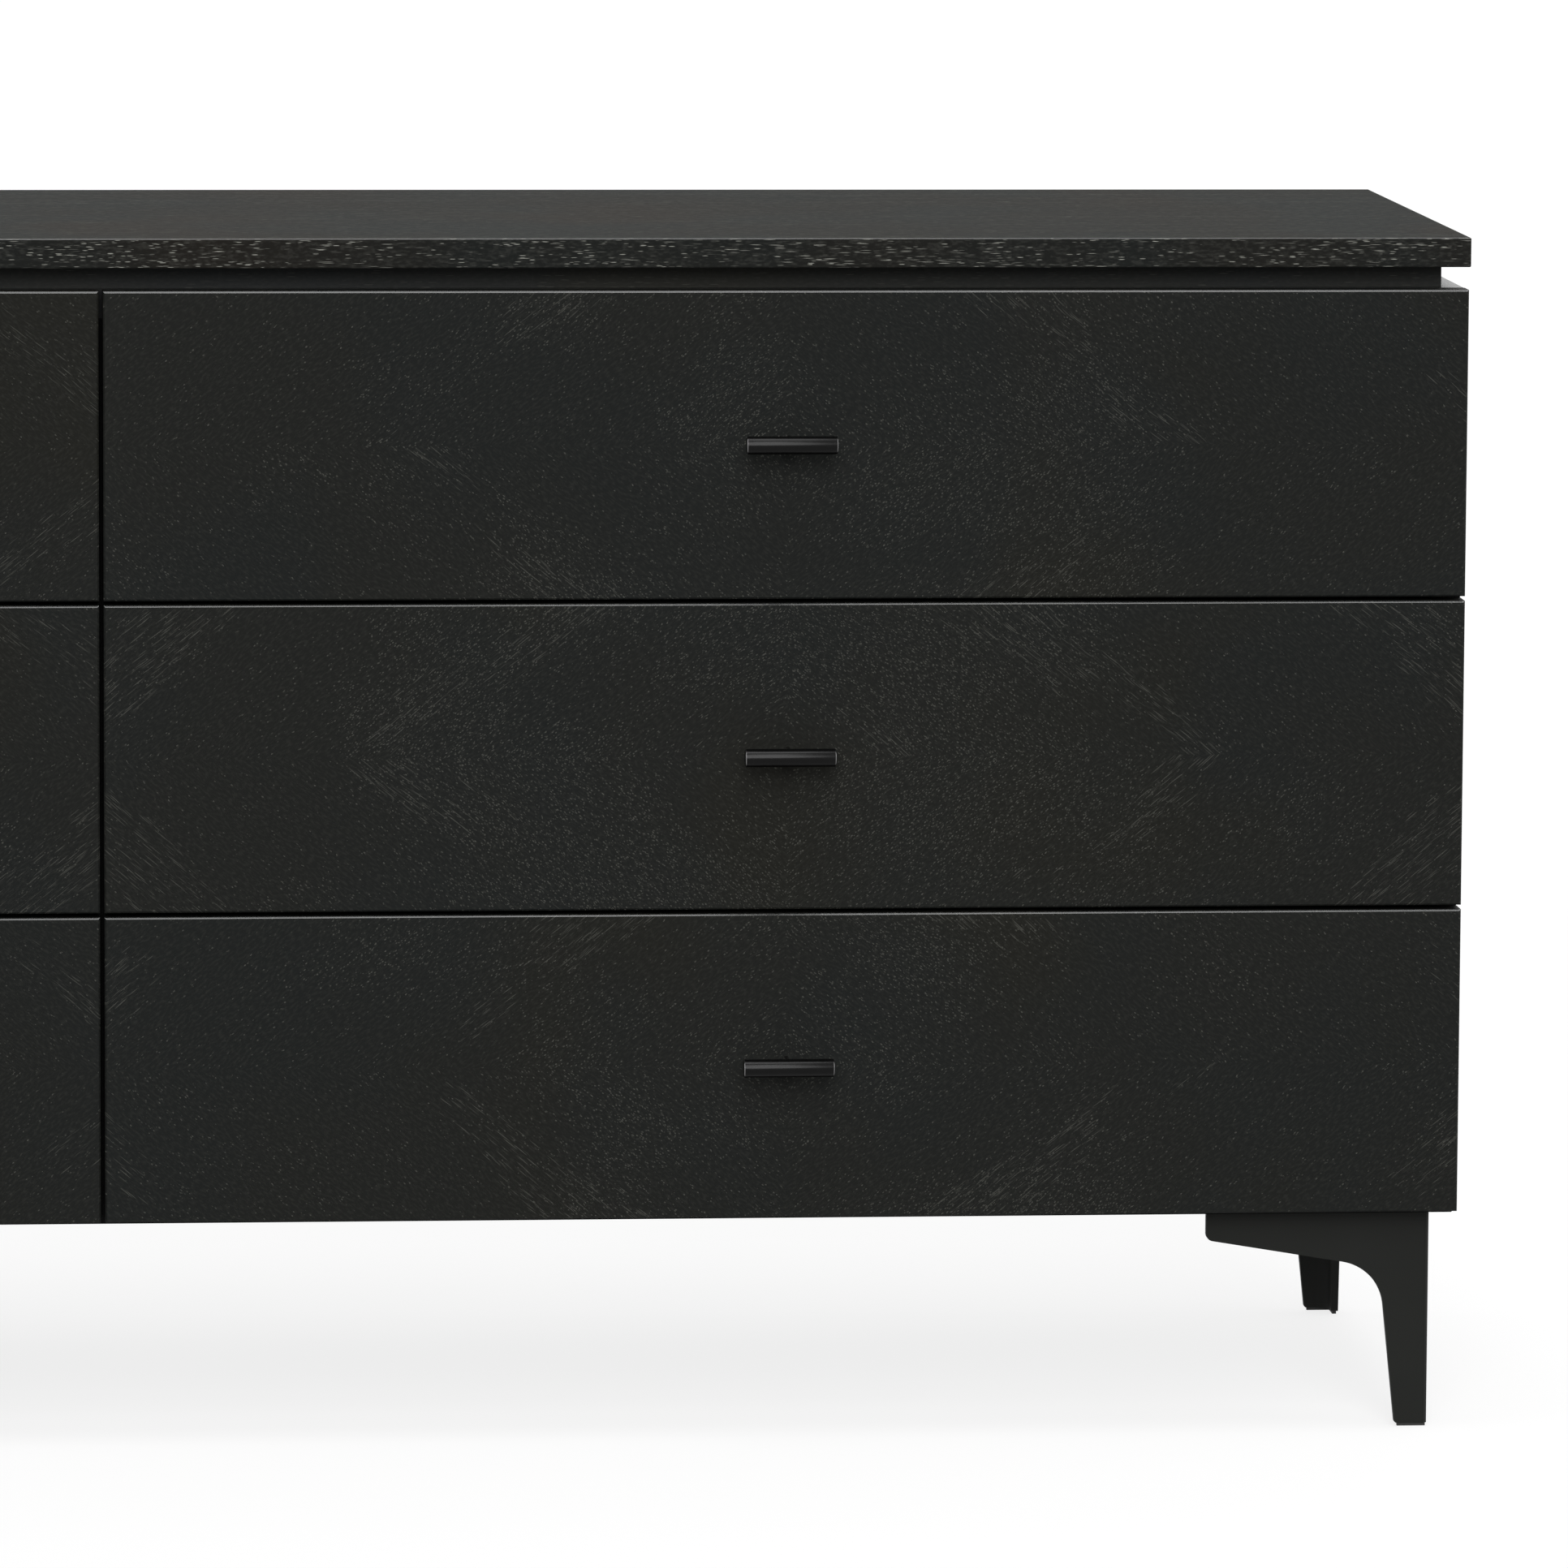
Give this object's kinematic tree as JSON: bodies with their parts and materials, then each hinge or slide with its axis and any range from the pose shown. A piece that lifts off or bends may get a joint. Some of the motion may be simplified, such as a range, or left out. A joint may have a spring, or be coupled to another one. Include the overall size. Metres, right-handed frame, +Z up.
{
  "type": "dresser with drawers",
  "caption": "Low wide dresser with columns of overlay drawers on telescopic slides, a recessed neck under the top, T-bar pulls and angled corner legs.",
  "frame": {"origin": "on the floor, at the middle of the dresser's width and of its whole depth with the pulls", "axes": "+X to the right seen from the front, -Y out of the front the way the drawers open, +Z up"},
  "size_m": [1.8, 0.51, 0.7975],
  "materials": {
    "black_oak": "open-pored black stain, satin",
    "black_board": "black painted board, matt",
    "box_wood": "clear lacquered pale wood",
    "box_ply": "clear lacquered plywood",
    "black_steel": "fine powder coat, satin",
    "black_pull": "satin black",
    "slide_steel": "bright zinc plated",
    "zinc_screw": "zinc plated",
    "foot_nylon": "black nylon"
  },
  "bodies": {
    "case": {"top_panel": "black_oak", "neck_frame": "black_oak", "case_top": "black_oak", "case_bottom": "black_oak", "left_side": "black_oak", "right_side": "black_oak", "centre_partition": "black_oak", "divider_rails": "black_oak", "back_panel": "black_board", "front_left_leg": "black_steel", "front_right_leg": "black_steel", "rear_left_leg": "black_steel", "rear_right_leg": "black_steel", "foot_pads": "foot_nylon", "leg_screws": "zinc_screw", "top_screws": "zinc_screw", "slide_tracks": "slide_steel"},
    "left_bottom_drawer": {"left_bottom_front": "black_oak", "left_bottom_box_sides": "box_wood", "left_bottom_box_ends": "box_wood", "left_bottom_box_bottom": "box_ply", "left_bottom_pull": "black_pull", "left_bottom_runners": "slide_steel"},
    "left_bottom_slide": {"left_bottom_carriers": "slide_steel"},
    "left_middle_drawer": {"left_middle_front": "black_oak", "left_middle_box_sides": "box_wood", "left_middle_box_ends": "box_wood", "left_middle_box_bottom": "box_ply", "left_middle_pull": "black_pull", "left_middle_runners": "slide_steel"},
    "left_middle_slide": {"left_middle_carriers": "slide_steel"},
    "left_top_drawer": {"left_top_front": "black_oak", "left_top_box_sides": "box_wood", "left_top_box_ends": "box_wood", "left_top_box_bottom": "box_ply", "left_top_pull": "black_pull", "left_top_runners": "slide_steel"},
    "left_top_slide": {"left_top_carriers": "slide_steel"},
    "right_bottom_drawer": {"right_bottom_front": "black_oak", "right_bottom_box_sides": "box_wood", "right_bottom_box_ends": "box_wood", "right_bottom_box_bottom": "box_ply", "right_bottom_pull": "black_pull", "right_bottom_runners": "slide_steel"},
    "right_bottom_slide": {"right_bottom_carriers": "slide_steel"},
    "right_middle_drawer": {"right_middle_front": "black_oak", "right_middle_box_sides": "box_wood", "right_middle_box_ends": "box_wood", "right_middle_box_bottom": "box_ply", "right_middle_pull": "black_pull", "right_middle_runners": "slide_steel"},
    "right_middle_slide": {"right_middle_carriers": "slide_steel"},
    "right_top_drawer": {"right_top_front": "black_oak", "right_top_box_sides": "box_wood", "right_top_box_ends": "box_wood", "right_top_box_bottom": "box_ply", "right_top_pull": "black_pull", "right_top_runners": "slide_steel"},
    "right_top_slide": {"right_top_carriers": "slide_steel"}
  },
  "joints": [
    {"name": "left_bottom_drawer_slide", "type": "slide", "parent": "case", "child": "left_bottom_drawer", "axis": [0, -1, 0], "range_m": [0, 0.38]},
    {"name": "left_bottom_carrier_slide", "type": "slide", "parent": "case", "child": "left_bottom_slide", "axis": [0, -1, 0], "range_m": [0, 0.19]},
    {"name": "left_middle_drawer_slide", "type": "slide", "parent": "case", "child": "left_middle_drawer", "axis": [0, -1, 0], "range_m": [0, 0.38]},
    {"name": "left_middle_carrier_slide", "type": "slide", "parent": "case", "child": "left_middle_slide", "axis": [0, -1, 0], "range_m": [0, 0.19]},
    {"name": "left_top_drawer_slide", "type": "slide", "parent": "case", "child": "left_top_drawer", "axis": [0, -1, 0], "range_m": [0, 0.38]},
    {"name": "left_top_carrier_slide", "type": "slide", "parent": "case", "child": "left_top_slide", "axis": [0, -1, 0], "range_m": [0, 0.19]},
    {"name": "right_bottom_drawer_slide", "type": "slide", "parent": "case", "child": "right_bottom_drawer", "axis": [0, -1, 0], "range_m": [0, 0.38]},
    {"name": "right_bottom_carrier_slide", "type": "slide", "parent": "case", "child": "right_bottom_slide", "axis": [0, -1, 0], "range_m": [0, 0.19]},
    {"name": "right_middle_drawer_slide", "type": "slide", "parent": "case", "child": "right_middle_drawer", "axis": [0, -1, 0], "range_m": [0, 0.38]},
    {"name": "right_middle_carrier_slide", "type": "slide", "parent": "case", "child": "right_middle_slide", "axis": [0, -1, 0], "range_m": [0, 0.19]},
    {"name": "right_top_drawer_slide", "type": "slide", "parent": "case", "child": "right_top_drawer", "axis": [0, -1, 0], "range_m": [0, 0.38]},
    {"name": "right_top_carrier_slide", "type": "slide", "parent": "case", "child": "right_top_slide", "axis": [0, -1, 0], "range_m": [0, 0.19]}
  ],
  "couplings": [
    {"joint": "left_bottom_carrier_slide", "follows": "left_bottom_drawer_slide", "ratio": 0.5},
    {"joint": "left_middle_carrier_slide", "follows": "left_middle_drawer_slide", "ratio": 0.5},
    {"joint": "left_top_carrier_slide", "follows": "left_top_drawer_slide", "ratio": 0.5},
    {"joint": "right_bottom_carrier_slide", "follows": "right_bottom_drawer_slide", "ratio": 0.5},
    {"joint": "right_middle_carrier_slide", "follows": "right_middle_drawer_slide", "ratio": 0.5},
    {"joint": "right_top_carrier_slide", "follows": "right_top_drawer_slide", "ratio": 0.5}
  ]
}
